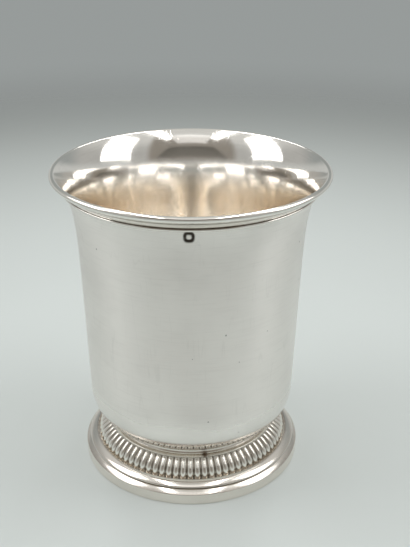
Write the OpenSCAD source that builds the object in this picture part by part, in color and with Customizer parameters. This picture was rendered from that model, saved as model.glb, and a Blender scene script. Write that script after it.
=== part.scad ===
// Silver tumbler on a gadrooned foot, in millimetres.
// +Z is up, and the origin is the centre of the circle that the foot stands on.

/* [Tumbler] */
// Height from the table to the top of the rim
tumbler_h = 89.6; // [82:0.1:100]
// Thickness of the silver sheet
sheet_t = 0.6; // [0.5:0.05:0.7]

/* [Bowl] */
// Outer radius of the wall just above the rounded bottom
bowl_r = 30.35; // [29.5:0.05:31]
// Radius of the rounded edge of the bottom
corner_r = 10; // [9:0.1:10.5]
// Outward lean of the wall, in millimetres for each millimetre of height
wall_lean = 0.0335; // [0:0.0005:0.06]
// How far the lip flares out past the leaning wall
lip_flare = 5.3; // [4:0.1:6]
// Height in which the flare grows by a factor of e
flare_h = 5.8; // [5:0.1:7]

/* [Rim moulding] */
// Radius of the bead on the lip
bead_r = 0.85; // [0.75:0.05:1]
// Height of the whole moulding
rim_h = 4.5; // [4:0.1:5]
// Radius of the narrow fillet at its lower edge
rim_fillet_r = 0.4; // [0.3:0.05:0.5]

/* [Foot] */
// Radius of the circle that the foot stands on
foot_r = 32.6; // [32:0.1:34]
// Height of the bowl's underside above the table
foot_h = 12.2; // [12:0.1:12.6]
// Radius of the narrowest part of the neck
neck_r = 23.5; // [23.3:0.1:23.7]
// Radius of the neck ring
neck_ring_r = 25.1; // [24.9:0.1:25.3]
// Height of the base ring
base_h = 4.2; // [4:0.1:4.4]
// Radius of the curve of the base ring's sloping shoulder
shoulder_r = 3.4; // [3:0.1:3.8]
// Outer radius of the torus moulding
torus_r = 31.45; // [31.4:0.05:31.6]
// Radius of the curve of its sloping face
torus_face_r = 4.8; // [4.6:0.1:4.8]

/* [Gadroons] */
// Number of gadroons round the foot
gadroon_n = 84; // [72:1:84]
// Width of one gadroon
gadroon_w = 1.84; // [1.6:0.02:1.84]
// Radius at the crest of the gadroons
gadroon_r = 28.5; // [28.4:0.1:28.6]
// Radius of the arc that a gadroon follows from foot to neck
gadroon_arc_r = 3.8; // [3.7:0.05:3.9]

/* [Hidden] */
$fn = 128;
silver = [0.78, 0.78, 0.74];
silver_warm = [0.74, 0.71, 0.66];
silver_solder = [0.66, 0.65, 0.61];

// Bowl: the rounded bottom is an arc about (corner_c, corner_z) and the wall ends at lip_z
corner_c = bowl_r - corner_r;
corner_z = foot_h + corner_r;
lip_slope = wall_lean + lip_flare / flare_h;
lip_out = [1, -lip_slope] / norm([1, lip_slope]);
bead_set = bead_r - sheet_t;
lip_z = tumbler_h - bead_r - bead_set * lip_out.y;
arc_steps = 16;
wall_steps = 40;

// Foot: a cone runs from the neck ring to the flange of the base ring
shell_t = sheet_t + 0.1;
cove_r = 1.1;
cove_c = [neck_r + cove_r, foot_h - 0.2];
neck_out_r = 24;
neck_ring_h = 0.5;
neck_ring_z = 10.5;
cone_base_r = 28.4;
flange_t = 0.8;
base_wall_t = 1;
base_edge_r = 0.3;
shoulder_low = 45;
shoulder_high = 75;
torus_web_h = 1.1;
torus_edge_r = 0.35;
torus_low = 50;
torus_high = 78;
groove_h = 0.3;
groove_r = 30.7;
gadroon_z = base_h + torus_web_h;

// Gadroons: each is a bent round bar from the web up to the neck, half sunk in a plain ring
lobe_r = gadroon_w / 2;
lobe_sunk = 0.35;
lobe_arc_r = gadroon_arc_r - lobe_r;
lobe_c = [gadroon_r - gadroon_arc_r, gadroon_z + 0.75];
lobe_low = -11;
lobe_high = 87;
// Places across one gadroon, as parts of its pitch, and angles along its arc
lobe_cols = [-0.5, -0.36, -0.13, 0.13, 0.36];
lobe_rows = [
    lobe_low, lobe_low + 20, lobe_low + 42, lobe_low + 63, lobe_low + 82, lobe_high, lobe_high
];

// Direction at angle a
function heading(a) = [cos(a), sin(a)];

// Points along an arc about c from angle a0 to angle a1
function arc(c, r, a0, a1, steps = arc_steps) =
    [for (i = [0:steps]) let (a = a0 + (a1 - a0) * i / steps) c + r * heading(a)];

// Points along a curve from a to b that is drawn towards p
function bend(a, p, b, steps = arc_steps) =
    [for (i = [0:steps]) let (t = i / steps) (1 - t) ^ 2 * a + 2 * t * (1 - t) * p + t ^ 2 * b];

// Outer radius and slope of the bowl's wall at height z
function wall_r(z) =
    bowl_r + wall_lean * (z - corner_z) + lip_flare * exp((z - lip_z) / flare_h);
function wall_slope(z) = wall_lean + lip_flare / flare_h * exp((z - lip_z) / flare_h);

// Point on the wall at height z, moved in by the given depth square to the surface
function wall_point(z, depth = 0) =
    let (s = wall_slope(z)) [wall_r(z), z] + depth / norm([1, s]) * [-1, s];

// Heights of the wall's points, closer together towards the lip
wall_zs = [for (i = [0:wall_steps])
    lip_z - (lip_z - corner_z) * (1 - i / wall_steps) ^ 1.6];

// Outline of the bowl's outside, closed along the axis
bowl_outside = concat(
    [[0, foot_h]],
    arc([corner_c, corner_z], corner_r, -90, 0),
    [for (i = [1:wall_steps]) wall_point(wall_zs[i])],
    [[0, lip_z]]
);

// Outline of the foot shell's outside, closed along the axis
shell_outside = concat(
    [[0, corner_z], [neck_out_r, corner_z]],
    arc(cove_c, cove_r, 123, 237),
    [[neck_out_r, neck_ring_z], [cone_base_r, base_h - flange_t], [0, base_h - flange_t]]
);

module bowl() {
    color(silver) rotate_extrude() polygon(concat(
        [[0, foot_h]],
        arc([corner_c, corner_z], corner_r, -90, 0),
        [for (i = [1:wall_steps]) wall_point(wall_zs[i])],
        [for (i = [wall_steps:-1:1]) wall_point(wall_zs[i], sheet_t)],
        arc([corner_c, corner_z], corner_r - sheet_t, 0, -90),
        [[0, foot_h + sheet_t]]
    ));
}

module rim_moulding() {
    low_z = tumbler_h - rim_h;
    bead_c = wall_point(lip_z) + bead_set * lip_out;
    bead_start = atan2(-lip_out.y, -lip_out.x);
    bead_end = -65;
    fillet_c = [wall_r(low_z + rim_fillet_r) + 0.25, low_z + rim_fillet_r];
    bead = arc(bead_c, bead_r, bead_start, bead_end);
    fillet = arc(fillet_c, rim_fillet_r, 75, -90);
    cove_foot = wall_point(fillet_c.y + 2 * rim_fillet_r, -0.3);
    color(silver) rotate_extrude() difference() {
        polygon(concat(
            [wall_point(lip_z, sheet_t)],
            bead,
            bend(bead[arc_steps], cove_foot, fillet[0]),
            fillet,
            [wall_point(low_z), wall_point(low_z, sheet_t)]
        ));
        polygon(concat(
            [[0, corner_z]],
            [for (z = wall_zs) wall_point(z)],
            [wall_point(lip_z, sheet_t), [0, tumbler_h]]
        ));
    }
}

module foot_shell() {
    color(silver_warm) rotate_extrude() difference() {
        polygon(shell_outside);
        polygon(bowl_outside);
        polygon([
            [0, 0], [cone_base_r - shell_t * 1.25, base_h - flange_t],
            [neck_out_r - shell_t * 1.25, neck_ring_z],
            [neck_r - shell_t, neck_ring_z + 1], [neck_r - shell_t, corner_z], [0, corner_z]
        ]);
    }
}

module neck_ring() {
    nose_r = neck_ring_h / 2;
    color(silver_warm) translate([0, 0, neck_ring_z]) rotate_extrude() {
        translate([neck_out_r, 0]) square([neck_ring_r - nose_r - neck_out_r, neck_ring_h]);
        translate([neck_ring_r - nose_r, nose_r]) circle(nose_r);
    }
}

// Distance of the gadroons' surface from the middle of their arc, at the distance x across it: a round
// bar, and the ring between the bars
function lobe_reach(x) = lobe_arc_r + max(lobe_sunk, sqrt(max(0, lobe_r ^ 2 - x ^ 2)));

// Radius and height of the gadroons' surface at the place col across the pitch and the angle a
function lobe_point(col, a) =
    let (x = col * 2 * PI * (lobe_c.x + lobe_arc_r * cos(a)) / gadroon_n)
    lobe_c + lobe_reach(x) * heading(a);

module gadroon_band() {
    back_gap = 0.002;
    cone_r = function (z) neck_out_r + back_gap
        + (cone_base_r - neck_out_r) * (neck_ring_z - z) / (neck_ring_z - base_h + flange_t);
    cols = len(lobe_cols);
    count = gadroon_n * cols;
    turns = [for (i = [0:gadroon_n - 1], c = lobe_cols) (i + c) * 360 / gadroon_n];
    section = [for (c = lobe_cols) concat(
        [for (a = lobe_rows) lobe_point(c, a)],
        [[cone_r(neck_ring_z), neck_ring_z], [cone_r(gadroon_z), gadroon_z]]
    )];
    rows = len(section[0]);
    last = len(lobe_rows) - 1;
    points = [for (k = [0:rows - 1], j = [0:count - 1]) let (p = section[j % cols][k])
        [p.x * cos(turns[j]), p.x * sin(turns[j]), k == 0 ? gadroon_z : k == last ? neck_ring_z : p.y]];
    faces = [for (k = [0:rows - 1], j = [0:count - 1], half = [0, 1])
        let (k1 = (k + 1) % rows, j1 = (j + 1) % count, a = k * count + j, b = k1 * count + j1)
        half == 0 ? [a, k1 * count + j, b] : [a, b, k * count + j1]];
    color(silver_warm) polyhedron(points, faces);
}

module torus_moulding() {
    reach = torus_face_r - torus_edge_r;
    low_c = [torus_r - torus_edge_r, base_h + groove_h + torus_edge_r];
    face_c = low_c - reach * heading(torus_low);
    top_c = face_c + reach * heading(torus_high);
    color(silver) rotate_extrude() difference() {
        polygon(concat(
            [[0, base_h], [groove_r, base_h], [groove_r, base_h + groove_h]],
            arc(low_c, torus_edge_r, -90, torus_low),
            arc(face_c, torus_face_r, torus_low, torus_high),
            arc(top_c, torus_edge_r, torus_high, 180),
            [[top_c.x - torus_edge_r, gadroon_z], [0, gadroon_z]]
        ));
        polygon(shell_outside);
    }
}

module base_ring() {
    reach = shoulder_r - base_edge_r;
    edge_z = base_h - shoulder_r * sin(shoulder_high) + reach * sin(shoulder_low);
    edge_c = [foot_r - base_edge_r, edge_z];
    shoulder_c = edge_c - reach * heading(shoulder_low);
    color(silver) rotate_extrude() difference() {
        polygon(concat(
            [[0, 0], [foot_r, 0]],
            arc(edge_c, base_edge_r, 0, shoulder_low),
            arc(shoulder_c, shoulder_r, shoulder_low, shoulder_high),
            [[0, base_h]]
        ));
        square([foot_r - base_wall_t, base_h - flange_t]);
        polygon(shell_outside);
    }
}

module solder_seams() {
    leg = 0.8;
    neck_in_r = neck_r - shell_t;
    cone_in_r = cone_base_r - shell_t * 1.25;
    under_z = base_h - flange_t;
    color(silver_solder) {
        rotate_extrude() difference() {
            polygon([
                [neck_in_r, foot_h - leg / 2], [neck_in_r, corner_z],
                [neck_in_r - leg, corner_z], [neck_in_r - leg, foot_h]
            ]);
            polygon(bowl_outside);
        }
        rotate_extrude() polygon([
            [cone_in_r, under_z], [cone_base_r + leg, under_z], [cone_base_r, under_z - leg / 2]
        ]);
    }
}

bowl();
rim_moulding();
foot_shell();
neck_ring();
gadroon_band();
torus_moulding();
base_ring();
solder_seams();
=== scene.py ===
"""Silver tumbler on a gadrooned foot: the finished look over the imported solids.

Lengths are in millimetres until a mesh is made, and in metres in the materials and the stage. +Z is up,
and the side that faces the camera is -Y.
"""
import math

import bpy
import numpy as np
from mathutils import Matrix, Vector


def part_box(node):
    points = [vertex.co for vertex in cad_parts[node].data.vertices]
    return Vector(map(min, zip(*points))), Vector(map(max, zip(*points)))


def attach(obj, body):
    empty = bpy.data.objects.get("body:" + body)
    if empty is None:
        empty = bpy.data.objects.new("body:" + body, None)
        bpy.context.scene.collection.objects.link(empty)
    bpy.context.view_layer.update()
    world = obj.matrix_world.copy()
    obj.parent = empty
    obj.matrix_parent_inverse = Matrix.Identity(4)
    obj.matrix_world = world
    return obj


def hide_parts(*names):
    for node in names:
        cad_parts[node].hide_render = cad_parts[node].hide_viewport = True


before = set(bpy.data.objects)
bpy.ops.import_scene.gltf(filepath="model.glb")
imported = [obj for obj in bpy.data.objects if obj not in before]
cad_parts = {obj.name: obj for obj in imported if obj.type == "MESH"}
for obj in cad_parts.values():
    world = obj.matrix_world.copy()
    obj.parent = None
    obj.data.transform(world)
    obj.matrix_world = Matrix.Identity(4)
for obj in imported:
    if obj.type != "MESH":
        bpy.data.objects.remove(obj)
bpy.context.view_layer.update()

MM = 0.001
MICRON = 0.000001
TURN = 2 * math.pi
FRONT = -math.pi / 2


def node_box(node):
    """Lowest and highest corner of a solid, in millimetres."""
    low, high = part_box(node)
    return np.array(low) / MM, np.array(high) / MM


# Sizes read from the solids
RIM_LOW, RIM_HIGH = node_box("rim_moulding")
_, BASE_HIGH = node_box("base_ring")
TORUS_LOW, TORUS_HIGH = node_box("torus_moulding")
GADROON_LOW, GADROON_HIGH = node_box("gadroon_band")
NECK_RING_LOW, NECK_RING_HIGH = node_box("neck_ring")
SHELL_LOW, SHELL_HIGH = node_box("foot_shell")
BOWL_LOW, _ = node_box("bowl")

# Bowl
SHEET_T = 0.6
BOWL_R = 30.35
CORNER_R = 10.0
WALL_LEAN = 0.0335
LIP_FLARE = 5.3
FLARE_H = 5.8
FOOT_H = BOWL_LOW[2]
CORNER_C = np.array([BOWL_R - CORNER_R, FOOT_H + CORNER_R])
LEAN_ANGLE = math.atan(WALL_LEAN)
WALL_Z = CORNER_C[1] - CORNER_R * math.sin(LEAN_ANGLE)
FLARE_Z = 68.0
WALL_ROWS = 22
FLARE_ROWS = 26
LIP_ROWS = 12
CORNER_ROWS = 36
INSIDE_FLARE_ROWS = 50
INSIDE_WALL_ROWS = 16
INSIDE_CORNER_ROWS = 30
SATIN_LOW = 17.0
SATIN_HIGH = 27.0

# Rim moulding, whose lower edge reaches a little below the solid's
BEAD_R = 0.85
BEAD_END = -65
RIM_FILLET_R = 0.4
RIM_FILLET_OUT = 0.25
RIM_FILLET_START = 75
RIM_COVE_OUT = 0.3
RIM_DROP = 0.45
RIM_TOP = RIM_HIGH[2]
RIM_SEAM_Z = RIM_LOW[2] - RIM_DROP
LIP_SLOPE = WALL_LEAN + LIP_FLARE / FLARE_H
LIP_OUT = np.array([1, -LIP_SLOPE]) / math.hypot(1, LIP_SLOPE)
LIP_Z = RIM_TOP - BEAD_R - (BEAD_R - SHEET_T) * LIP_OUT[1]

# Blank punch mark under the rim: a sunk, rounded field with a deeper edge and a plain round pip
MARK_Z = 82.75
MARK_R = 1.45
MARK_TALL = 1.15
MARK_POWER = 2.8
MARK_REACH = 2.0
MARK_SECTOR = 1.0
MARK_STEPS = 33
MARK_SUNK = 0.06
MARK_EDGE_DEPTH = 0.2
MARK_EDGE_W = 0.42
MARK_EDGE_SOFT = 0.08
MARK_PIP_R = 0.6
MARK_FIELD_STAIN = 0.15

# Foot
SHELL_T = 0.7
NECK_R = 23.5
NECK_OUT_R = 24.0
COVE_R = 1.1
COVE_DROP = 0.2
COVE_START = 237
COVE_END = 123
NECK_BEND = 1.0
SHELL_SLANT = 1.25
CONE_BASE_R = SHELL_HIGH[0]
CONE_SLOPE = (CONE_BASE_R - NECK_OUT_R) / (NECK_RING_LOW[2] - SHELL_LOW[2])
FLANGE_T = BASE_HIGH[2] - SHELL_LOW[2]
BASE_WALL_T = 1.0
BASE_EDGE_R = 0.3
SHOULDER_R = 8.0
SHOULDER_LOW = 50
SHOULDER_HIGH = 63
TORUS_EDGE_R = 0.35
TORUS_FACE_R = 4.8
TORUS_LOW_ANGLE = 50
TORUS_HIGH_ANGLE = 78
GROOVE_H = 0.3
GROOVE_R = 30.7
WORN_EDGE_R = 0.15

# Gadroons
GADROON_N = 84
GADROON_W = 1.84
GADROON_R = 28.5
GADROON_ARC_R = 3.8
LOBE_RISE = 0.75
LOBE_C = np.array([GADROON_R - GADROON_ARC_R, GADROON_LOW[2] + LOBE_RISE])
LOBE_R = GADROON_W / 2
LOBE_SUNK = 0.35
LOBE_LOW = math.radians(-11)
LOBE_MID = math.radians(46)
SLOPE_R = 18.0
SLOPE_C = LOBE_C - (SLOPE_R - GADROON_ARC_R) * np.array([math.cos(LOBE_MID), math.sin(LOBE_MID)])
LOBE_HIGH = math.asin((GADROON_HIGH[2] - SLOPE_C[1]) / SLOPE_R)
LOBE_COLUMNS = 22
LOBE_CROWDING = 0.75
LOBE_ROWS = 28
SLOPE_ROWS = 14

# Tarnish and painted shade: how much of them the recesses, seams and grooves hold, and how wide they lie
SEAM_SHADOW_AND_TARNISH, SEAM_SHADOW_DROP, SEAM_SHADOW_W = 1.4, 0.1, 0.13
FILLET_SHADE_RISE, FILLET_SHADE_W = 0.08, 0.16
COVE_SHADE_W = 0.2
BOWL_FOOT_STAIN = 0.1
NECK_STAIN = 0.2
NECK_TOP_STAIN = 0.4
NECK_STAIN_W = 0.4
WIRE_STAIN_W = 0.5
SPOT_TURN = FRONT + 0.172
SPOT_W = 0.75
SPOT_DEPTH = 1.7
GAP_DARKENING = 0.7
GAP_REACH = 0.75
LOBE_TOP_SHADOW_AND_TARNISH, LOBE_TOP_SHADOW_W = 0.3, 0.3
FACE_FILM_AND_SHADE = 0.4
TORUS_TOP_SHADE, TORUS_TOP_SHADE_W = 0.4, 0.35
TORUS_GROOVE_SHADE, TORUS_GROOVE_SHADE_W = 0.2, 1.6 * GROOVE_H
BASE_GROOVE_SHADE, BASE_GROOVE_SHADE_W = 0.3, 0.3

# Columns round the axis
RING_SEGMENTS = 384


# Profiles, as rows of (radius, height)

def arc(centre, radius, start, end, count=24):
    """Points on a circle about centre, from the angle start to the angle end, in degrees."""
    a = np.radians(np.linspace(start, end, count))
    return np.asarray(centre) + radius * np.stack([np.cos(a), np.sin(a)], 1)


def heading(angle):
    """The direction at an angle in degrees."""
    return np.array([math.cos(math.radians(angle)), math.sin(math.radians(angle))])


def bend(a, pull, b, count=24):
    """Points on a quadratic curve from a to b that is drawn towards pull."""
    t = np.linspace(0, 1, count)[:, None]
    return (1 - t) ** 2 * np.asarray(a) + 2 * t * (1 - t) * np.asarray(pull) + t ** 2 * np.asarray(b)


def straight(a, b, count=8):
    """Points on the line from a to b, without its ends, that crowd towards them as a cosine does."""
    t = (0.5 - 0.5 * np.cos(np.linspace(0, math.pi, count + 2)))[1:-1, None]
    return np.asarray(a) + t * (np.asarray(b) - np.asarray(a))


def wall(z, depth=0.0):
    """Points on the bowl's wall at the heights z, moved in by depth square to the surface.

    The radius leans out steadily and grows as an exponential towards the lip.
    """
    z = np.asarray(z, float)
    flare = LIP_FLARE * np.exp((z - LIP_Z) / FLARE_H)
    slope = WALL_LEAN + flare / FLARE_H
    r = BOWL_R + WALL_LEAN * (z - CORNER_C[1]) + flare
    shift = depth / np.hypot(1, slope)
    return np.stack([r - shift, z + shift * slope], -1)


def cone_r(z):
    """Radius of the outside of the foot shell's cone at the height z."""
    return NECK_OUT_R + CONE_SLOPE * (NECK_RING_LOW[2] - z)


def near(values, place, width):
    """1 where values are at place, falling to 0 on either side as a bell of the given width."""
    return np.exp(-((values - place) / width) ** 2)


# Meshes

def mesh_object(name, points, faces, material, slot, *nodes, recess, satin=None, crease=40):
    """An object of the given points (millimetres) and faces that stands for solids of the frame.

    recess is a value from 0 to 1 at each point, for the tarnish that gathers there and for painted shade,
    and satin another, for the brushed finish. Edges sharper than crease degrees are shaded as edges.
    """
    mesh = bpy.data.meshes.new(name)
    mesh.from_pydata((np.asarray(points) * MM).tolist(), [], faces)
    mesh.validate()
    mesh.polygons.foreach_set("use_smooth", np.ones(len(mesh.polygons), bool))
    mesh.set_sharp_from_angle(angle=math.radians(crease))
    mesh.materials.append(material)
    for label, values in (("recess", recess), ("satin", satin)):
        if values is not None:
            layer = mesh.attributes.new(label, "FLOAT", "POINT")
            layer.data.foreach_set("value", np.asarray(values, np.float32).ravel())
    piece = bpy.data.objects.new(name, mesh)
    bpy.context.scene.collection.objects.link(piece)
    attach(piece, "root")
    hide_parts(*nodes)
    return piece


def ring_faces(rows, columns, closed):
    """Four-sided faces of a grid that closes round its columns, and round its rows too where closed."""
    k = np.arange(rows if closed else rows - 1)[:, None]
    j = np.arange(columns)[None]
    k1, j1 = (k + 1) % rows, (j + 1) % columns
    quads = np.stack([k * columns + j, k * columns + j1, k1 * columns + j1, k1 * columns + j], -1)
    return quads.reshape(-1, 4)


def even_turn(segments=RING_SEGMENTS):
    """Equal angles once round the axis."""
    return np.arange(segments) * TURN / segments


def revolved(profile, turn):
    """Points made by turning a profile about the axis: (r cos a, r sin a, z) at each angle a of turn."""
    r, z = profile[:, :1], profile[:, 1:]
    return np.stack([r * np.cos(turn), r * np.sin(turn), z + 0 * turn], -1)


def ring(name, outline, material, slot, *nodes, recess):
    """A ring whose section is the closed outline, given anticlockwise in radius and height.

    recess has a row for each point of the outline, and one column or one for each angle round the ring.
    """
    turn = even_turn()
    grid = revolved(outline, turn)
    faces = ring_faces(len(outline), len(turn), True).tolist()
    return mesh_object(name, grid.reshape(-1, 3), faces, material, slot, *nodes, recess=recess + 0 * turn)


# Node trees

class Nodes:
    """Adds nodes to one tree. An input given as a socket is linked, and any other is set as a value."""

    def __init__(self, tree):
        self.tree = tree

    def fill(self, socket, value):
        """Links or sets one input."""
        if isinstance(value, bpy.types.NodeSocket):
            self.tree.links.new(value, socket)
        else:
            socket.default_value = value

    def add(self, kind, inputs=(), **settings):
        """A node of the given kind with its settings, and then its inputs by name or number."""
        node = self.tree.nodes.new("ShaderNode" + kind)
        for key, value in settings.items():
            setattr(node, key, value)
        for key, value in dict(inputs).items():
            self.fill(node.inputs[key], value)
        return node

    def maths(self, operation, *values):
        """The result of one Math node."""
        return self.add("Math", enumerate(values), operation=operation).outputs[0]

    def total(self, *values):
        """The sum of several values."""
        result = values[0]
        for value in values[1:]:
            result = self.maths("ADD", result, value)
        return result

    def step(self, value, low, high):
        """A smooth step from 0 to 1 as value goes from low to high."""
        inputs = {"Value": value, "From Min": low, "From Max": high}
        return self.add("MapRange", inputs, interpolation_type="SMOOTHSTEP").outputs["Result"]

    def noise(self, vector, scale, detail=2.0):
        """Soft noise round 0.5 with about scale features to a unit."""
        inputs = {"Vector": vector, "Scale": scale, "Detail": detail}
        return self.add("TexNoise", inputs).outputs["Fac"]

    def mixed(self, amount, a, b):
        """Colour a turned into colour b by amount."""
        node = self.add("Mix", {0: amount, 6: a, 7: b}, data_type="RGBA")
        return node.outputs[2]

    def place(self):
        """The point's Object coordinates in metres: the vector, x, y, z and the distance from the axis."""
        vector = self.add("TexCoord").outputs["Object"]
        x, y, z = self.add("SeparateXYZ", {0: vector}).outputs
        squares = self.total(self.maths("MULTIPLY", x, x), self.maths("MULTIPLY", y, y))
        return vector, x, y, z, self.maths("SQRT", squares)

    def moved(self, vector, location=(0, 0, 0), rotation=(0, 0, 0), scale=(1, 1, 1)):
        """A vector scaled, turned and moved."""
        inputs = {"Vector": vector, "Location": location, "Rotation": rotation, "Scale": scale}
        return self.add("Mapping", inputs).outputs["Vector"]


def effect(name, inputs, outputs):
    """A new node group with number inputs (name to default) and outputs: its nodes, inputs and outputs."""
    tree = bpy.data.node_groups.new(name, "ShaderNodeTree")
    for label, value in inputs.items():
        socket = tree.interface.new_socket(label, in_out="INPUT", socket_type="NodeSocketFloat")
        socket.default_value = value
    for label in outputs:
        tree.interface.new_socket(label, in_out="OUTPUT", socket_type="NodeSocketFloat")
    given = tree.nodes.new("NodeGroupInput").outputs
    made = tree.nodes.new("NodeGroupOutput").inputs
    return Nodes(tree), given, made


def polish_lines():
    """Fine lines round the axis: noise in four dimensions, stretched along the turn of the surface."""
    nodes, given, made = effect("polish_lines", {"Lines per metre": 4000, "Wander": 4}, ["Height"])
    _, x, y, z, r = nodes.place()
    lines, wander = given["Lines per metre"], given["Wander"]
    along = nodes.add("CombineXYZ", {
        "X": nodes.maths("MULTIPLY", nodes.maths("DIVIDE", x, r), wander),
        "Y": nodes.maths("MULTIPLY", nodes.maths("DIVIDE", y, r), wander),
        "Z": nodes.maths("MULTIPLY", z, lines),
    }).outputs["Vector"]
    values = {"Vector": along, "W": nodes.maths("MULTIPLY", r, lines), "Scale": 1, "Detail": 3}
    noise = nodes.add("TexNoise", values, noise_dimensions="4D")
    nodes.fill(made["Height"], noise.outputs["Fac"])
    return nodes.tree


HAIRLINE_SLANTS = ((0.5, 1.7), (-0.9, 4.1), (1.35, 9.3))
HAIRLINE_TURN = 0.3
HAIRLINE_STRETCH = (260, 260, 14)
HAIRLINE_PATCHES = 130
HAIRLINE_FADE = 0.15


def hairlines():
    """Stray scratches: thin contour lines of stretched noise at three slants, broken up by softer noise."""
    nodes, given, made = effect("hairlines", {"Spread": 0.52, "Width": 0.012}, ["Mask"])
    vector = nodes.place()[0]
    masks = []
    for tilt, seed in HAIRLINE_SLANTS:
        turned = nodes.moved(vector, (seed, seed, seed), (tilt, tilt / 2, HAIRLINE_TURN), HAIRLINE_STRETCH)
        level = nodes.maths("ABSOLUTE", nodes.maths("SUBTRACT", nodes.noise(turned, 1, 1), 0.5))
        line = nodes.maths("SUBTRACT", 1, nodes.step(level, 0, given["Width"]))
        cloud = nodes.noise(nodes.moved(vector, (seed, 0, seed)), HAIRLINE_PATCHES, 1)
        patch = nodes.step(cloud, given["Spread"], nodes.maths("ADD", given["Spread"], HAIRLINE_FADE))
        masks.append(nodes.maths("MULTIPLY", line, patch))
    nodes.fill(made["Mask"], nodes.maths("MINIMUM", nodes.total(*masks), 1))
    return nodes.tree


def pinpricks():
    """Tiny round pits: the middles of some of the cells of a scattered pattern."""
    nodes, given, made = effect("pinpricks", {"Cells per metre": 240, "Share": 0.3, "Size": 0.03}, ["Mask"])
    cells = nodes.add("TexVoronoi", {"Vector": nodes.place()[0], "Scale": given["Cells per metre"]})
    draw = nodes.add("SeparateColor", {"Color": cells.outputs["Color"]}).outputs
    chosen = nodes.maths("LESS_THAN", draw[0], given["Share"])
    size = nodes.maths("MULTIPLY", given["Size"], nodes.maths("ADD", draw[1], 0.5))
    outer = nodes.maths("MULTIPLY", size, 2)
    dot = nodes.maths("SUBTRACT", 1, nodes.step(cells.outputs["Distance"], size, outer))
    nodes.fill(made["Mask"], nodes.maths("MULTIPLY", dot, chosen))
    return nodes.tree


CLOUD_RANGE = (0.4, 0.75)
UNEVEN_LEAST = 0.6
UNEVEN_GRAIN = 900


def tarnish_and_shade():
    """Grey-brown tarnish and painted shade: strong where the recess value is high, with a faint cloud of
    tarnish over the rest.
    """
    values = {"Recess": 0, "In recesses": 1, "Film": 0.2, "Clouds": 60}
    nodes, given, made = effect("tarnish_and_shade", values, ["Mask"])
    vector = nodes.place()[0]
    cloud = nodes.step(nodes.noise(vector, given["Clouds"], 4), *CLOUD_RANGE)
    uneven = nodes.maths("ADD", UNEVEN_LEAST, nodes.noise(vector, UNEVEN_GRAIN, 3))
    held = nodes.maths("MULTIPLY", nodes.maths("MULTIPLY", given["Recess"], uneven), given["In recesses"])
    film = nodes.maths("MULTIPLY", cloud, given["Film"])
    nodes.fill(made["Mask"], nodes.maths("MINIMUM", nodes.total(held, film), 1))
    return nodes.tree


SMUDGE_RANGE = (0.35, 0.7)


def smudges():
    """Where cloth and fingers have dulled the polish: large soft patches with a finer mottle."""
    nodes, given, made = effect("smudges", {"Patches": 45, "Mottle": 420}, ["Mask"])
    vector = nodes.place()[0]
    patches = nodes.step(nodes.noise(vector, given["Patches"], 3), *SMUDGE_RANGE)
    mottle = nodes.noise(vector, given["Mottle"], 3)
    nodes.fill(made["Mask"], nodes.maths("MULTIPLY", patches, mottle))
    return nodes.tree


WAVE_STRETCH = (1, 1, 0.3)


def hand_finish():
    """The slow waves that raising and planishing leave in sheet, longer up the wall than round it."""
    nodes, given, made = effect("hand_finish", {"Waves": 110}, ["Height"])
    upright = nodes.moved(nodes.place()[0], scale=WAVE_STRETCH)
    nodes.fill(made["Height"], nodes.noise(upright, given["Waves"], 1))
    return nodes.tree


POLISH_LINES = polish_lines()
HAIRLINES = hairlines()
PINPRICKS = pinpricks()
TARNISH_AND_SHADE = tarnish_and_shade()
SMUDGES = smudges()
HAND_FINISH = hand_finish()


# Materials

PIT_STAIN = 0.6
SCRATCH_STAIN = 0.05
LINE_STAIN = 0.2
LINE_MEAN = 0.5
LINE_DULLING = 0.3
SPREAD = 0.9
QUARTER_TURN = 0.25


def node_material(name, metallic):
    """A new material: itself, its nodes and its shader."""
    material = bpy.data.materials.new(name)
    material.use_nodes = True
    shader = material.node_tree.nodes["Principled BSDF"]
    shader.inputs["Metallic"].default_value = metallic
    return material, Nodes(material.node_tree), shader


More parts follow.
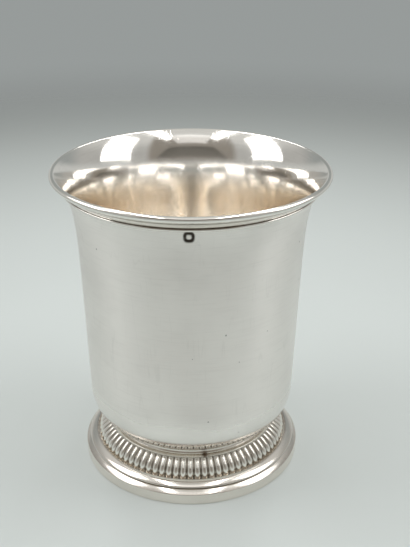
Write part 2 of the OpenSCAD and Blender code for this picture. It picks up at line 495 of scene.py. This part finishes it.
def silver(
    name, colour, shade, roughness, dulling, lines, line_h, hairline_h, pit_h, wave_h, in_recesses, film,
    brushed=0,
):
    """Polished silver.

    colour is the clean metal, and shade the colour of its tarnish and of the shade painted into it. The
    roughness rises by up to dulling where the surface is smudged or tarnished or has shade painted on it,
    and by brushed where it is satin: there the lines round the axis spread what it mirrors up and down. The
    heights of lines, hairlines, pits and waves are in microns.
    """
    material, nodes, shader = node_material(name, 1)
    recess = nodes.add("Attribute", attribute_name="recess").outputs["Fac"]
    polish = nodes.add("Group", {"Lines per metre": lines}, node_tree=POLISH_LINES).outputs["Height"]
    scratch = nodes.add("Group", node_tree=HAIRLINES).outputs["Mask"]
    pits = nodes.add("Group", node_tree=PINPRICKS).outputs["Mask"]
    smudge = nodes.add("Group", node_tree=SMUDGES).outputs["Mask"]
    waves = nodes.add("Group", node_tree=HAND_FINISH).outputs["Height"]
    darkening_values = {"Recess": recess, "In recesses": in_recesses, "Film": film}
    darkening = nodes.add("Group", darkening_values, node_tree=TARNISH_AND_SHADE).outputs["Mask"]

    deep = nodes.maths("MAXIMUM", nodes.maths("SUBTRACT", polish, LINE_MEAN), 0)
    worn_in = nodes.total(
        nodes.maths("MULTIPLY", pits, PIT_STAIN),
        nodes.maths("MULTIPLY", scratch, SCRATCH_STAIN),
        nodes.maths("MULTIPLY", deep, LINE_STAIN),
    )
    dark = nodes.maths("MINIMUM", nodes.total(darkening, worn_in), 1)
    nodes.fill(shader.inputs["Base Color"], nodes.mixed(dark, (*colour, 1), (*shade, 1)))

    worn = nodes.total(smudge, darkening, nodes.maths("MULTIPLY", polish, LINE_DULLING))
    rough = nodes.total(nodes.maths("MULTIPLY", worn, dulling), roughness)
    if brushed:
        satin = nodes.add("Attribute", attribute_name="satin").outputs["Fac"]
        rough = nodes.total(rough, nodes.maths("MULTIPLY", satin, brushed))
        shader.inputs["Anisotropic"].default_value = SPREAD
        shader.inputs["Anisotropic Rotation"].default_value = QUARTER_TURN
    nodes.fill(shader.inputs["Roughness"], rough)

    relief = nodes.total(
        nodes.maths("MULTIPLY", polish, line_h),
        nodes.maths("MULTIPLY", scratch, -hairline_h),
        nodes.maths("MULTIPLY", pits, -pit_h),
        nodes.maths("MULTIPLY", waves, wave_h),
    )
    bump = nodes.add("Bump", {"Distance": MICRON, "Height": relief})
    nodes.fill(shader.inputs["Normal"], bump.outputs["Normal"])
    return material


bowl_silver = silver(
    "bowl_silver", colour=(0.955, 0.928, 0.888), shade=(0.07, 0.06, 0.05), roughness=0.06, dulling=0.08,
    lines=2600, line_h=5, hairline_h=5, pit_h=12, wave_h=45, in_recesses=1.0, film=0.06, brushed=0.27,
)
moulding_silver = silver(
    "moulding_silver", colour=(0.93, 0.905, 0.855), shade=(0.22, 0.18, 0.14), roughness=0.09, dulling=0.08,
    lines=5000, line_h=3, hairline_h=3, pit_h=8, wave_h=12, in_recesses=1.0, film=0.08,
)
# Darker and warmer than moulding_silver: partly tarnish, partly painted shade that tones down the
# highlights of the torus and the base
base_silver = silver(
    "base_silver", colour=(0.89, 0.845, 0.785), shade=(0.22, 0.18, 0.14), roughness=0.12, dulling=0.08,
    lines=5000, line_h=3, hairline_h=3, pit_h=8, wave_h=12, in_recesses=1.0, film=0.10,
)
foot_silver = silver(
    "foot_silver", colour=(0.91, 0.87, 0.80), shade=(0.20, 0.14, 0.10), roughness=0.10, dulling=0.12,
    lines=5000, line_h=3, hairline_h=3, pit_h=8, wave_h=8, in_recesses=0.5, film=0.18,
)
gadroon_silver = silver(
    "gadroon_silver", colour=(0.92, 0.89, 0.83), shade=(0.17, 0.14, 0.105), roughness=0.13, dulling=0.10,
    lines=5000, line_h=1, hairline_h=2, pit_h=4, wave_h=8, in_recesses=1.0, film=0.08,
)


SOLDER_COLOUR = (0.64, 0.62, 0.57, 1)
FLUX_COLOUR = (0.30, 0.25, 0.19, 1)
SOLDER_GRAIN = 2600
SOLDER_GRAIN_H = 40
SOLDER_SMOOTHEST = 0.25
SOLDER_DULLING = 0.3


def dull_solder():
    """Silver solder: a grey run with a grainy skin and brownish flux stains."""
    material, nodes, shader = node_material("solder", 1)
    darkening = nodes.add("Group", {"Film": 0.8, "Clouds": 180}, node_tree=TARNISH_AND_SHADE).outputs["Mask"]
    grain = nodes.noise(nodes.place()[0], SOLDER_GRAIN, 4)
    rough = nodes.total(nodes.maths("MULTIPLY", grain, SOLDER_DULLING), SOLDER_SMOOTHEST)
    nodes.fill(shader.inputs["Base Color"], nodes.mixed(darkening, SOLDER_COLOUR, FLUX_COLOUR))
    nodes.fill(shader.inputs["Roughness"], rough)
    bump = nodes.add("Bump", {"Distance": MICRON, "Height": nodes.maths("MULTIPLY", grain, SOLDER_GRAIN_H)})
    nodes.fill(shader.inputs["Normal"], bump.outputs["Normal"])
    return material


# Pieces

def mark_turn():
    """Angles once round the axis, closer together across the mark."""
    reach = MARK_REACH / wall(MARK_Z)[0]
    across = np.linspace(FRONT - reach, FRONT + reach, MARK_STEPS)
    rest = np.linspace(FRONT + reach, FRONT + TURN - reach, RING_SEGMENTS)
    return np.concatenate([across, rest[1:-1]])


def mark_depth(x, y):
    """Depth of the punch mark at x and y from its middle, and how much tarnish it holds.

    With d the size of the rounded square through the point, the field is sunk inside MARK_R, the edge is a
    flat-bottomed groove there, and the pip is a dome that rises out of the field.
    """
    y = y / MARK_TALL
    d = (np.abs(x) ** MARK_POWER + np.abs(y) ** MARK_POWER) ** (1 / MARK_POWER)
    edge = np.exp(-((d - MARK_R + MARK_EDGE_W) / MARK_EDGE_W) ** 4)
    field = 0.5 - 0.5 * np.tanh((d - MARK_R) / (2 * MARK_EDGE_SOFT))
    pip = np.sqrt(np.maximum(0, 1 - (np.hypot(x, y) / MARK_PIP_R) ** 2))
    depth = MARK_SUNK * field * (1 - pip) + MARK_EDGE_DEPTH * edge
    return depth, np.maximum(edge, MARK_FIELD_STAIN * field * (1 - pip))


def bowl():
    """The raised cup, outside and inside.

    Its profile is a flat bottom, an arc, and a wall that leans out and flares to the lip. The punch mark is
    pushed in towards the axis.
    """
    outside_z = np.concatenate([
        np.linspace(WALL_Z, FLARE_Z, WALL_ROWS),
        np.linspace(FLARE_Z, MARK_Z - MARK_REACH, FLARE_ROWS)[1:-1],
        np.linspace(MARK_Z - MARK_REACH, MARK_Z + MARK_REACH, MARK_STEPS),
        np.linspace(MARK_Z + MARK_REACH, LIP_Z, LIP_ROWS)[1:],
    ])
    inside_z = np.concatenate([
        np.linspace(LIP_Z, FLARE_Z, INSIDE_FLARE_ROWS),
        np.linspace(FLARE_Z, WALL_Z, INSIDE_WALL_ROWS)[1:],
    ])
    lean = -math.degrees(LEAN_ANGLE)
    outside = np.concatenate([
        straight([0, FOOT_H], [CORNER_C[0], FOOT_H]),
        arc(CORNER_C, CORNER_R, -90, lean, CORNER_ROWS)[:-1],
        wall(outside_z),
    ])
    inside = np.concatenate([
        wall(inside_z, SHEET_T),
        arc(CORNER_C, CORNER_R - SHEET_T, lean, -90, INSIDE_CORNER_ROWS)[1:],
        straight([CORNER_C[0], FOOT_H + SHEET_T], [0, FOOT_H + SHEET_T]),
    ])
    turn = mark_turn()
    outer_grid = revolved(outside, turn)
    r, z = outside[:, :1], outside[:, 1:]
    # The angles only grow from the mark onwards, so past its sector all of them count as outside it
    depth, darkening = mark_depth(r * np.minimum(turn - FRONT, MARK_SECTOR), z - MARK_Z)
    outer_grid[..., :2] *= 1 - (depth / r)[..., None]
    # Painted shadow under the rim wire, with some tarnish in the seam: a dark line just below the wire
    darkening = darkening + SEAM_SHADOW_AND_TARNISH * near(z, RIM_SEAM_Z - SEAM_SHADOW_DROP, SEAM_SHADOW_W)
    darkening = darkening + BOWL_FOOT_STAIN * near(z, FOOT_H, NECK_STAIN_W)
    grid = np.concatenate([outer_grid, revolved(inside, turn)])
    rows, columns = grid.shape[:2]
    poles = [[0, 0, FOOT_H], [0, 0, FOOT_H + SHEET_T]]
    points = np.concatenate([grid.reshape(-1, 3), poles])
    recess = np.concatenate([np.minimum(darkening, 1).ravel(), np.zeros(len(points) - darkening.size)])
    brushed = np.clip((z - SATIN_LOW) / (SATIN_HIGH - SATIN_LOW), 0, 1) + 0 * turn
    satin = np.concatenate([brushed.ravel(), np.zeros(len(points) - darkening.size)])
    j = np.arange(columns)
    j1 = (j + 1) % columns
    top = (rows - 1) * columns
    under = np.stack([np.full(columns, rows * columns), j1, j], 1)
    within = np.stack([np.full(columns, rows * columns + 1), top + j, top + j1], 1)
    faces = ring_faces(rows, columns, False).tolist() + under.tolist() + within.tolist()
    return mesh_object(
        "bowl_sheet", points, faces, bowl_silver, "bowl_silver", "bowl", recess=recess, satin=satin,
    )


def rim_moulding():
    """The wire on the lip: a round bead, a cove below it, and a narrow round fillet."""
    bead_c = wall(LIP_Z) + (BEAD_R - SHEET_T) * LIP_OUT
    bead_start = math.degrees(math.atan2(-LIP_OUT[1], -LIP_OUT[0]))
    fillet_z = RIM_SEAM_Z + RIM_FILLET_R
    fillet_c = np.array([wall(fillet_z)[0] + RIM_FILLET_OUT, fillet_z])
    bead = arc(bead_c, BEAD_R, bead_start, BEAD_END, 40)
    fillet = arc(fillet_c, RIM_FILLET_R, RIM_FILLET_START, -90, 20)
    cove = bend(bead[-1], wall(fillet_z + 2 * RIM_FILLET_R, -RIM_COVE_OUT), fillet[0])
    back = wall(np.linspace(RIM_SEAM_Z, LIP_Z, 16))
    outline = np.concatenate([[wall(LIP_Z, SHEET_T)], bead, cove[1:-1], fillet, back])[::-1]
    z = outline[:, 1:]
    # Painted shade on the wire: a dark band at the top of the cove, under the bead, and a dark line where
    # the cove meets the fillet
    recess = near(z, cove[2, 1], COVE_SHADE_W) + near(z, fillet[0, 1] + FILLET_SHADE_RISE, FILLET_SHADE_W)
    return ring("rim_wire", outline, moulding_silver, "moulding_silver", "rim_moulding", recess=recess)


def tarnish_spot(z, height):
    """The dark spot at the foot's neck: a bell round the angle SPOT_TURN and the given height."""
    return SPOT_DEPTH * near(even_turn() - TURN, SPOT_TURN, SPOT_W / NECK_OUT_R) * near(z, height, SPOT_W)


def foot_shell():
    """The spun foot: a concave neck under the bowl, and a cone that widens to the base."""
    neck_z = NECK_RING_LOW[2]
    cove_c = np.array([NECK_R + COVE_R, FOOT_H - COVE_DROP])
    seat = np.array([NECK_R - SHELL_T, NECK_OUT_R])
    seat_z = CORNER_C[1] - np.sqrt(CORNER_R ** 2 - (seat - CORNER_C[0]) ** 2)
    inner = SHELL_T * SHELL_SLANT
    low_in, low_out = [CONE_BASE_R - inner, SHELL_LOW[2]], [CONE_BASE_R, SHELL_LOW[2]]
    neck_out, neck_in = [NECK_OUT_R, neck_z], [NECK_OUT_R - inner, neck_z]
    outline = np.concatenate([
        [low_in, low_out], straight(low_out, neck_out), [neck_out],
        arc(cove_c, COVE_R, COVE_START, COVE_END, 32),
        [[seat[1], seat_z[1]], [seat[0], seat_z[0]], [seat[0], neck_z + NECK_BEND], neck_in],
        straight(neck_in, low_in),
    ])
    z = outline[:, 1:]
    high = NECK_RING_HIGH[2]
    recess = NECK_STAIN * near(z, high, NECK_STAIN_W) + NECK_TOP_STAIN * near(z, FOOT_H, NECK_STAIN_W)
    recess = recess + tarnish_spot(z, high)
    return ring("foot_shell_spun", outline, foot_silver, "foot_silver", "foot_shell", recess=recess)


def neck_ring():
    """The plain wire on top of the gadroons, with a round nose."""
    low, high = NECK_RING_LOW[2], NECK_RING_HIGH[2]
    nose_r = (high - low) / 2
    nose_c = [NECK_RING_HIGH[0] - nose_r, low + nose_r]
    nose = arc(nose_c, nose_r, -90, 90, 20)
    inside = np.array([[NECK_OUT_R, low], [NECK_OUT_R, high]])
    outline = np.concatenate([
        inside[:1], straight(inside[0], nose[0], 4), nose, straight(nose[-1], inside[1], 4), inside[1:],
    ])
    r, z = outline[:, :1], outline[:, 1:]
    recess = NECK_STAIN * near(r, NECK_OUT_R, WIRE_STAIN_W) + tarnish_spot(z, high)
    return ring("neck_wire", outline, foot_silver, "foot_silver", "neck_ring", recess=recess)


def gadroon_band():
    """The band of lobes.

    Each lobe is a round bar, half sunk in a plain ring, that goes up from the web along an arc and then
    along a much flatter one to the neck wire. At the distance x across it, the surface stands off the bar's
    path by the larger of the ring's height and sqrt(bar radius^2 - x^2).
    """
    col = np.linspace(-0.5, 0.5, LOBE_COLUMNS, endpoint=False)
    col = np.sign(col) * 0.5 * np.abs(2 * col) ** LOBE_CROWDING
    turn = (np.arange(GADROON_N)[:, None] + col).ravel() * TURN / GADROON_N
    col = np.tile(col, GADROON_N)
    low = np.linspace(LOBE_LOW, LOBE_MID, LOBE_ROWS, endpoint=False)
    high = np.linspace(LOBE_MID, LOBE_HIGH, SLOPE_ROWS)
    a = np.append(low, high)[:, None]
    on_slope = a >= LOBE_MID
    centre = np.where(on_slope, SLOPE_C, LOBE_C)
    path_r = np.where(on_slope, SLOPE_R, GADROON_ARC_R) - LOBE_R
    x = col * TURN * (centre[:, :1] + path_r * np.cos(a)) / GADROON_N
    rise = np.maximum(LOBE_SUNK, np.sqrt(np.maximum(0, LOBE_R ** 2 - x ** 2)))
    r = centre[:, :1] + (path_r + rise) * np.cos(a)
    z = centre[:, 1:] + (path_r + rise) * np.sin(a)
    z[0], z[-1] = GADROON_LOW[2], GADROON_HIGH[2]
    # Darker in the gaps between the lobes
    gap = np.clip(1 - (rise - LOBE_SUNK) / (LOBE_R - LOBE_SUNK) / GAP_REACH, 0, 1) ** 2
    # Painted shadow of the neck wire on the tops of the lobes, with some tarnish
    top = near(z, GADROON_HIGH[2], LOBE_TOP_SHADOW_W)
    recess = np.maximum(GAP_DARKENING * gap, LOBE_TOP_SHADOW_AND_TARNISH * top)
    back_z = np.array([[GADROON_HIGH[2]], [GADROON_LOW[2]]])
    r = np.concatenate([r, cone_r(back_z) + 0 * turn])
    z = np.concatenate([z, back_z + 0 * turn])
    recess = np.concatenate([recess, 0 * back_z + 0 * turn])
    grid = np.stack([r * np.cos(turn), r * np.sin(turn), z], -1)
    faces = ring_faces(len(r), len(turn), True).tolist()
    return mesh_object(
        "gadroon_strip", grid.reshape(-1, 3), faces, gadroon_silver, "gadroon_silver", "gadroon_band",
        recess=recess, crease=60,
    )


def torus_moulding():
    """The moulding below the gadroons: a sloping face that swells a little, above a narrow groove.

    The face and its rounded edges are three arcs that run into each other. The gadroons stand on the web
    behind them.
    """
    low, web = TORUS_LOW[2], GADROON_LOW[2]
    reach = TORUS_FACE_R - TORUS_EDGE_R
    low_c = np.array([TORUS_HIGH[0] - TORUS_EDGE_R, low + GROOVE_H + TORUS_EDGE_R])
    face_c = low_c - reach * heading(TORUS_LOW_ANGLE)
    top_c = face_c + reach * heading(TORUS_HIGH_ANGLE)
    swell = np.concatenate([
        arc(low_c, TORUS_EDGE_R, -90, TORUS_LOW_ANGLE, 16),
        arc(face_c, TORUS_FACE_R, TORUS_LOW_ANGLE, TORUS_HIGH_ANGLE, 40)[1:-1],
        arc(top_c, TORUS_EDGE_R, TORUS_HIGH_ANGLE, 180, 16),
    ])
    back_low, back_high = [cone_r(low), low], [cone_r(web), web]
    web_out = [top_c[0] - TORUS_EDGE_R, web]
    groove_low, groove_high = [GROOVE_R, low], [GROOVE_R, low + GROOVE_H]
    outline = np.concatenate([
        [back_low], straight(back_low, groove_low), [groove_low, groove_high],
        straight(groove_high, swell[0]), swell,
        straight(swell[-1], web_out), [web_out], straight(web_out, back_high), [back_high],
    ])
    r, z = outline[:, :1], outline[:, 1:]
    # A tarnish film that also paints shade: darker towards the foot of the face, which dims its highlights
    film = FACE_FILM_AND_SHADE * ((TORUS_HIGH[2] - z) / (TORUS_HIGH[2] - low)) ** 2
    # Painted shade along the top edge, in the seam under the lobes
    top = TORUS_TOP_SHADE * near(r, top_c[0], TORUS_TOP_SHADE_W)
    # Painted shade in the groove at the bottom, above the base
    recess = film + top + TORUS_GROOVE_SHADE * near(z, low, TORUS_GROOVE_SHADE_W)
    return ring("torus_wire", outline, base_silver, "moulding_silver", "torus_moulding", recess=recess)


def base_ring():
    """The band that stands on the table: an upright wall, a sloping shoulder and a flange inside it.

    The shoulder swells a little: it is an arc that runs into a smaller arc at the top of the wall.
    """
    high, foot_r = BASE_HIGH[2], BASE_HIGH[0]
    under = high - FLANGE_T
    inner_r = foot_r - BASE_WALL_T
    reach = SHOULDER_R - BASE_EDGE_R
    edge_z = high - SHOULDER_R * heading(SHOULDER_HIGH)[1] + reach * heading(SHOULDER_LOW)[1]
    edge_c = np.array([foot_r - BASE_EDGE_R, edge_z])
    shoulder = np.concatenate([
        arc(edge_c, BASE_EDGE_R, 0, SHOULDER_LOW, 16),
        arc(edge_c - reach * heading(SHOULDER_LOW), SHOULDER_R, SHOULDER_LOW, SHOULDER_HIGH, 24)[1:],
    ])
    foot_edge = arc([foot_r - WORN_EDGE_R, WORN_EDGE_R], WORN_EDGE_R, -90, 0, 8)
    top_in, under_in, under_out = [cone_r(high), high], [cone_r(under), under], [inner_r, under]
    outline = np.concatenate([
        [[inner_r, 0]], foot_edge, straight(foot_edge[-1], shoulder[0]), shoulder,
        straight(shoulder[-1], top_in), [top_in, under_in], straight(under_in, under_out), [under_out],
    ])
    r, z = outline[:, :1], outline[:, 1:]
    # A tarnish film that also paints shade over the shoulder's highlights, strongest just above the edge of
    # the wall
    film = FACE_FILM_AND_SHADE * np.clip((z - edge_z) / BASE_EDGE_R, 0, 1) * (high - z) / (high - edge_z)
    # Painted shade in the groove at the top, under the torus
    recess = film + BASE_GROOVE_SHADE * near(r, GROOVE_R, BASE_GROOVE_SHADE_W) * near(z, high, GROOVE_H)
    return ring("base_band", outline, base_silver, "moulding_silver", "base_ring", recess=recess)


bowl()
rim_moulding()
foot_shell()
neck_ring()
gadroon_band()
torus_moulding()
base_ring()

solder = dull_solder()
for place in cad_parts["solder_seams"].material_slots:
    place.material = solder


# Stage

FLOOR_COLOUR = (0.65, 0.695, 0.685, 1)
BACKDROP_COLOUR = (0.31, 0.33, 0.325, 1)
SIDE_COLOUR = (0.42, 0.42, 0.405, 1)
HIGH_COLOUR = (0.60, 0.60, 0.58, 1)
LOW_COLOUR = (0.53, 0.54, 0.525, 1)
OPENING_COLOUR = (0.26, 0.24, 0.21, 1)
CARD_COLOUR = (0.13, 0.12, 0.105, 1)
CARD_PLACE = (0, -0.32, 0.27)
CARD_W = 0.36
CARD_H = 0.30
CARD_STEPS = 8
CARD_ROUGHNESS = 0.9
FLOOR_PALE_R = 0.16
FLOOR_GREY_R = 0.50
FLOOR_FADE_R = 0.30
FLOOR_END_R = 0.58
FLOOR_SEGMENTS = 128
FLOOR_RADII = np.array([0.02, 0.06, 0.12, 0.25, FLOOR_END_R])
FLOOR_ROUGHNESS = 0.85
PAPER_GRAIN = 900
PAPER_GRAIN_DEPTH = 0.1


def grainy(nodes, roughness):
    """The roughness of paper or felt, a little uneven."""
    grain = nodes.noise(nodes.place()[0], PAPER_GRAIN)
    return nodes.total(nodes.maths("MULTIPLY", grain, PAPER_GRAIN_DEPTH), roughness)


def stage_piece(name, points, faces, material):
    """A mesh of the stage."""
    mesh = bpy.data.meshes.new(name)
    mesh.from_pydata(points.reshape(-1, 3).tolist(), [], faces)
    mesh.materials.append(material)
    piece = bpy.data.objects.new(name, mesh)
    bpy.context.scene.collection.objects.link(piece)
    return piece


def floor():
    """A round paper floor with painted light: pale under the tumbler, grey further out, and fading into the
    backdrop.
    """
    turn = even_turn(FLOOR_SEGMENTS)
    grid = revolved(np.stack([FLOOR_RADII, 0 * FLOOR_RADII], 1), turn)
    faces = ring_faces(len(FLOOR_RADII), len(turn), False).tolist() + [list(range(len(turn)))]
    material, nodes, shader = node_material("floor_paper", 0)
    *_, r = nodes.place()
    # Painted pool of light: pale near the tumbler, turning grey further out
    far = nodes.step(r, FLOOR_PALE_R, FLOOR_GREY_R)
    gone = nodes.step(r, FLOOR_FADE_R, FLOOR_END_R)
    nodes.fill(shader.inputs["Base Color"], nodes.mixed(far, FLOOR_COLOUR, BACKDROP_COLOUR))
    nodes.fill(shader.inputs["Roughness"], grainy(nodes, FLOOR_ROUGHNESS))
    nodes.fill(shader.inputs["Alpha"], nodes.maths("SUBTRACT", 1, gone))
    stage_piece("floor", grid, faces, material)


# Lamps of a small light tent: a panel in each side wall, two narrow bars overhead and a dim strip in front
WALL_RADIANCE = 2.6
WALL_X = 0.20
WALL_NEAR = -0.08
WALL_FAR = 0.055
WALL_LOW = 0.15
WALL_HIGH = 0.38
BAR_RADIANCE = 6.0
BAR_W = 0.035
BAR_Z = 0.40
BAR_X = 0.11
BAR_NEAR = -0.20
BAR_FAR = 0.38
FRONT_RADIANCE = 0.5
FRONT_Y = -0.24
FRONT_W = 0.18


def panel(name, place, facing, width, height, radiance):
    """A soft rectangular lamp at place that faces the given direction, unseen by the camera."""
    lamp = bpy.data.lights.new(name, "AREA")
    lamp.shape = "RECTANGLE"
    lamp.size, lamp.size_y = width, height
    lamp.energy = radiance * math.pi * width * height
    holder = bpy.data.objects.new(name, lamp)
    holder.location = place
    holder.rotation_euler = Vector(facing).to_track_quat("-Z", "Y").to_euler()
    holder.visible_camera = False
    bpy.context.scene.collection.objects.link(holder)


def panels():
    """The lamps of the tent: on either side a wall panel and a bar, and a dimmer strip above the camera."""
    wall_y, wall_l = (WALL_NEAR + WALL_FAR) / 2, WALL_FAR - WALL_NEAR
    wall_z, wall_h = (WALL_LOW + WALL_HIGH) / 2, WALL_HIGH - WALL_LOW
    bar_y, bar_l = (BAR_NEAR + BAR_FAR) / 2, BAR_FAR - BAR_NEAR
    for name, side in (("left", -1), ("right", 1)):
        wall_place, bar_place = (side * WALL_X, wall_y, wall_z), (side * BAR_X, bar_y, BAR_Z)
        panel("lamp_" + name, wall_place, (-side, 0, 0), wall_l, wall_h, WALL_RADIANCE)
        panel("lamp_bar_" + name, bar_place, (0, 0, -1), BAR_W, bar_l, BAR_RADIANCE)
    panel("lamp_front", (0, FRONT_Y, BAR_Z), (0, 0, -1), 2 * BAR_X - BAR_W, FRONT_W, FRONT_RADIANCE)


def lens_card():
    """A dark card behind the camera that faces the tumbler and shades the floor in front of it."""
    across = np.linspace(-0.5, 0.5, CARD_STEPS + 1)
    u, v = np.meshgrid(across, across)
    tilt = math.atan2(CARD_PLACE[2], -CARD_PLACE[1])
    x = CARD_PLACE[0] + CARD_W * u
    y = CARD_PLACE[1] - CARD_H * v * math.sin(tilt)
    z = CARD_PLACE[2] + CARD_H * v * math.cos(tilt)
    row = CARD_STEPS + 1
    corner = (np.arange(CARD_STEPS)[:, None] * row + np.arange(CARD_STEPS)).ravel()
    faces = np.stack([corner, corner + 1, corner + row + 1, corner + row], 1)
    material, nodes, shader = node_material("card_felt", 0)
    shader.inputs["Base Color"].default_value = CARD_COLOUR
    nodes.fill(shader.inputs["Roughness"], grainy(nodes, CARD_ROUGHNESS))
    piece = stage_piece("lens_card", np.stack([x, y, z], -1), faces.tolist(), material)
    piece.visible_camera = False


# Zones of the surroundings: where each begins and where it is full. Those aside are angles from the front,
# and the others are heights on a sphere of radius 1.
OPENING_ASIDE = (0.70, 0.85)
OPENING_LOW = (0.14, 0.24)
OPENING_HIGH = (0.78, 0.84)
BACKDROP_ASIDE = (2.1, 2.5)
LOW_ASIDE = (1.1, 1.4)
LOW_TOP = (0.15, 0.30)
HIGH_RISE = (0.45, 0.75)


def surroundings():
    """A grey backdrop, paler sides and a dark opening in front, which only light and reflections meet.

    All of it is paler higher up, and the sides and the back are paler near the floor too. The opening lies
    between two heights.
    """
    world = bpy.data.worlds.new("surroundings")
    bpy.context.scene.world = world
    world.use_nodes = True
    nodes = Nodes(world.node_tree)
    x, y, z = nodes.add("SeparateXYZ", {0: nodes.add("TexCoord").outputs["Generated"]}).outputs
    aside = nodes.maths("ABSOLUTE", nodes.maths("ARCTAN2", x, nodes.maths("MULTIPLY", y, -1)))
    within = nodes.maths("SUBTRACT", 1, nodes.step(aside, *OPENING_ASIDE))
    level = nodes.maths("SUBTRACT", nodes.step(z, *OPENING_LOW), nodes.step(z, *OPENING_HIGH))
    opening = nodes.maths("MULTIPLY", within, level)
    below = nodes.maths("SUBTRACT", 1, nodes.step(z, *LOW_TOP))
    near_floor = nodes.maths("MULTIPLY", nodes.step(aside, *LOW_ASIDE), below)
    colour = nodes.mixed(nodes.step(aside, *BACKDROP_ASIDE), SIDE_COLOUR, BACKDROP_COLOUR)
    colour = nodes.mixed(near_floor, colour, LOW_COLOUR)
    colour = nodes.mixed(nodes.step(z, *HIGH_RISE), colour, HIGH_COLOUR)
    colour = nodes.mixed(opening, colour, OPENING_COLOUR)
    seen = nodes.add("LightPath").outputs["Is Camera Ray"]
    background = world.node_tree.nodes["Background"]
    nodes.fill(background.inputs["Color"], nodes.mixed(seen, colour, BACKDROP_COLOUR))


floor()
lens_card()
panels()
surroundings()


# Camera, from the photograph's frame of 410 by 547 pixels

FRAME_H = 547
FOCAL_PX = 924.0
CAMERA_PLACE = (0.00398, -0.24333, 0.16977)
CAMERA_PITCH = 0.4333
CAMERA_ROLL = 0.0041

lens = bpy.data.cameras.new("camera")
lens.sensor_width = 36
lens.lens = FOCAL_PX / FRAME_H * lens.sensor_width
camera = bpy.data.objects.new("camera", lens)
camera.location = CAMERA_PLACE
camera.rotation_mode = "ZYX"
camera.rotation_euler = (math.pi / 2 - CAMERA_PITCH, 0, CAMERA_ROLL)
bpy.context.scene.collection.objects.link(camera)
bpy.context.scene.camera = camera

bpy.context.scene.view_settings.view_transform = "Standard"
# Inside the bowl the light is mirrored many times
bpy.context.scene.cycles.max_bounces = 16
bpy.context.scene.cycles.glossy_bounces = 16
